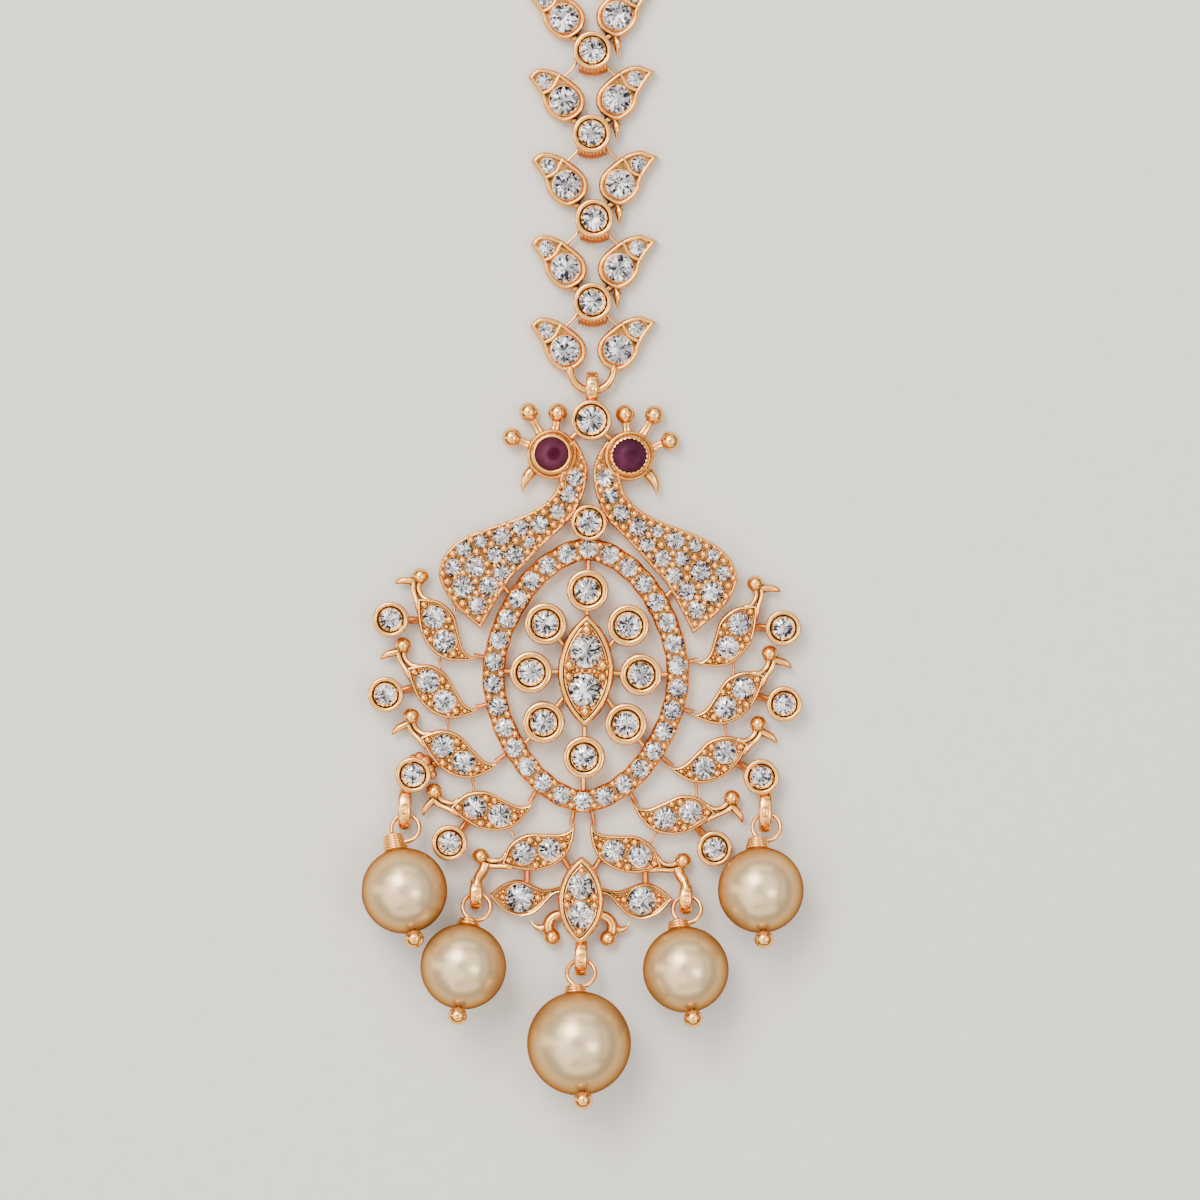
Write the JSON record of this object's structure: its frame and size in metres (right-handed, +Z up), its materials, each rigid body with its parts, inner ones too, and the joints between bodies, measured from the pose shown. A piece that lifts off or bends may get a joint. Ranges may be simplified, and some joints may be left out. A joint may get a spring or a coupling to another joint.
{
  "type": "maang tikka",
  "caption": "Traditional hair ornament with a pierced gold-coloured pendant set with clear and red stones, cream pearl drops and a leaf-link chain ending in a hair hook.",
  "frame": {"origin": "centre of the oval ring, on the flat underside of the pendant, which rests on the ground plane z = 0", "axes": "+Z up out of the face of the ornament, +Y along the chain towards the hair hook, +X to the right as seen from the front"},
  "size_m": [0.0314, 0.0946, 0.0074],
  "materials": {
    "frame_gold": "polished rose-gold plating",
    "chain_gold": "polished rose-gold plating",
    "pin_gold": "polished rose-gold plated wire",
    "hook_gold": "polished rose-gold plated wire",
    "clear_stone": "clear faceted stone over foil",
    "ruby_red": "smooth red cabochon",
    "cream_pearl": "pearlescent cream"
  },
  "bodies": {
    "root": {"pendant_frame": "frame_gold", "oval_stone_top": "clear_stone", "oval_stone_bottom": "clear_stone", "oval_stone_upper_left": "clear_stone", "oval_stone_upper_right": "clear_stone", "oval_stone_middle_left": "clear_stone", "oval_stone_middle_right": "clear_stone", "oval_stone_lower_left": "clear_stone", "oval_stone_lower_right": "clear_stone", "marquise_stone_upper": "clear_stone", "marquise_stone_lower": "clear_stone", "low_marquise_stone_upper": "clear_stone", "low_marquise_stone_lower": "clear_stone", "middle_stone": "clear_stone", "top_stone": "clear_stone", "small_leaf_stone_left": "clear_stone", "side_stone_left_1": "clear_stone", "side_stone_left_2": "clear_stone", "side_stone_left_3": "clear_stone", "side_stone_left_4": "clear_stone", "small_leaf_stone_right": "clear_stone", "side_stone_right_1": "clear_stone", "side_stone_right_2": "clear_stone", "side_stone_right_3": "clear_stone", "side_stone_right_4": "clear_stone", "ruby_left": "ruby_red", "ruby_right": "ruby_red", "pearl_left_upper": "cream_pearl", "headpin_left_upper": "pin_gold", "pearl_left_lower": "cream_pearl", "headpin_left_lower": "pin_gold", "pearl_middle": "cream_pearl", "headpin_middle": "pin_gold", "pearl_right_lower": "cream_pearl", "headpin_right_lower": "pin_gold", "pearl_right_upper": "cream_pearl", "headpin_right_upper": "pin_gold", "chain_link_1": "chain_gold", "chain_link_2": "chain_gold", "chain_link_3": "chain_gold", "chain_link_4": "chain_gold", "chain_link_5": "chain_gold", "jump_ring": "hook_gold", "hair_hook": "hook_gold"}
  },
  "joints": []
}
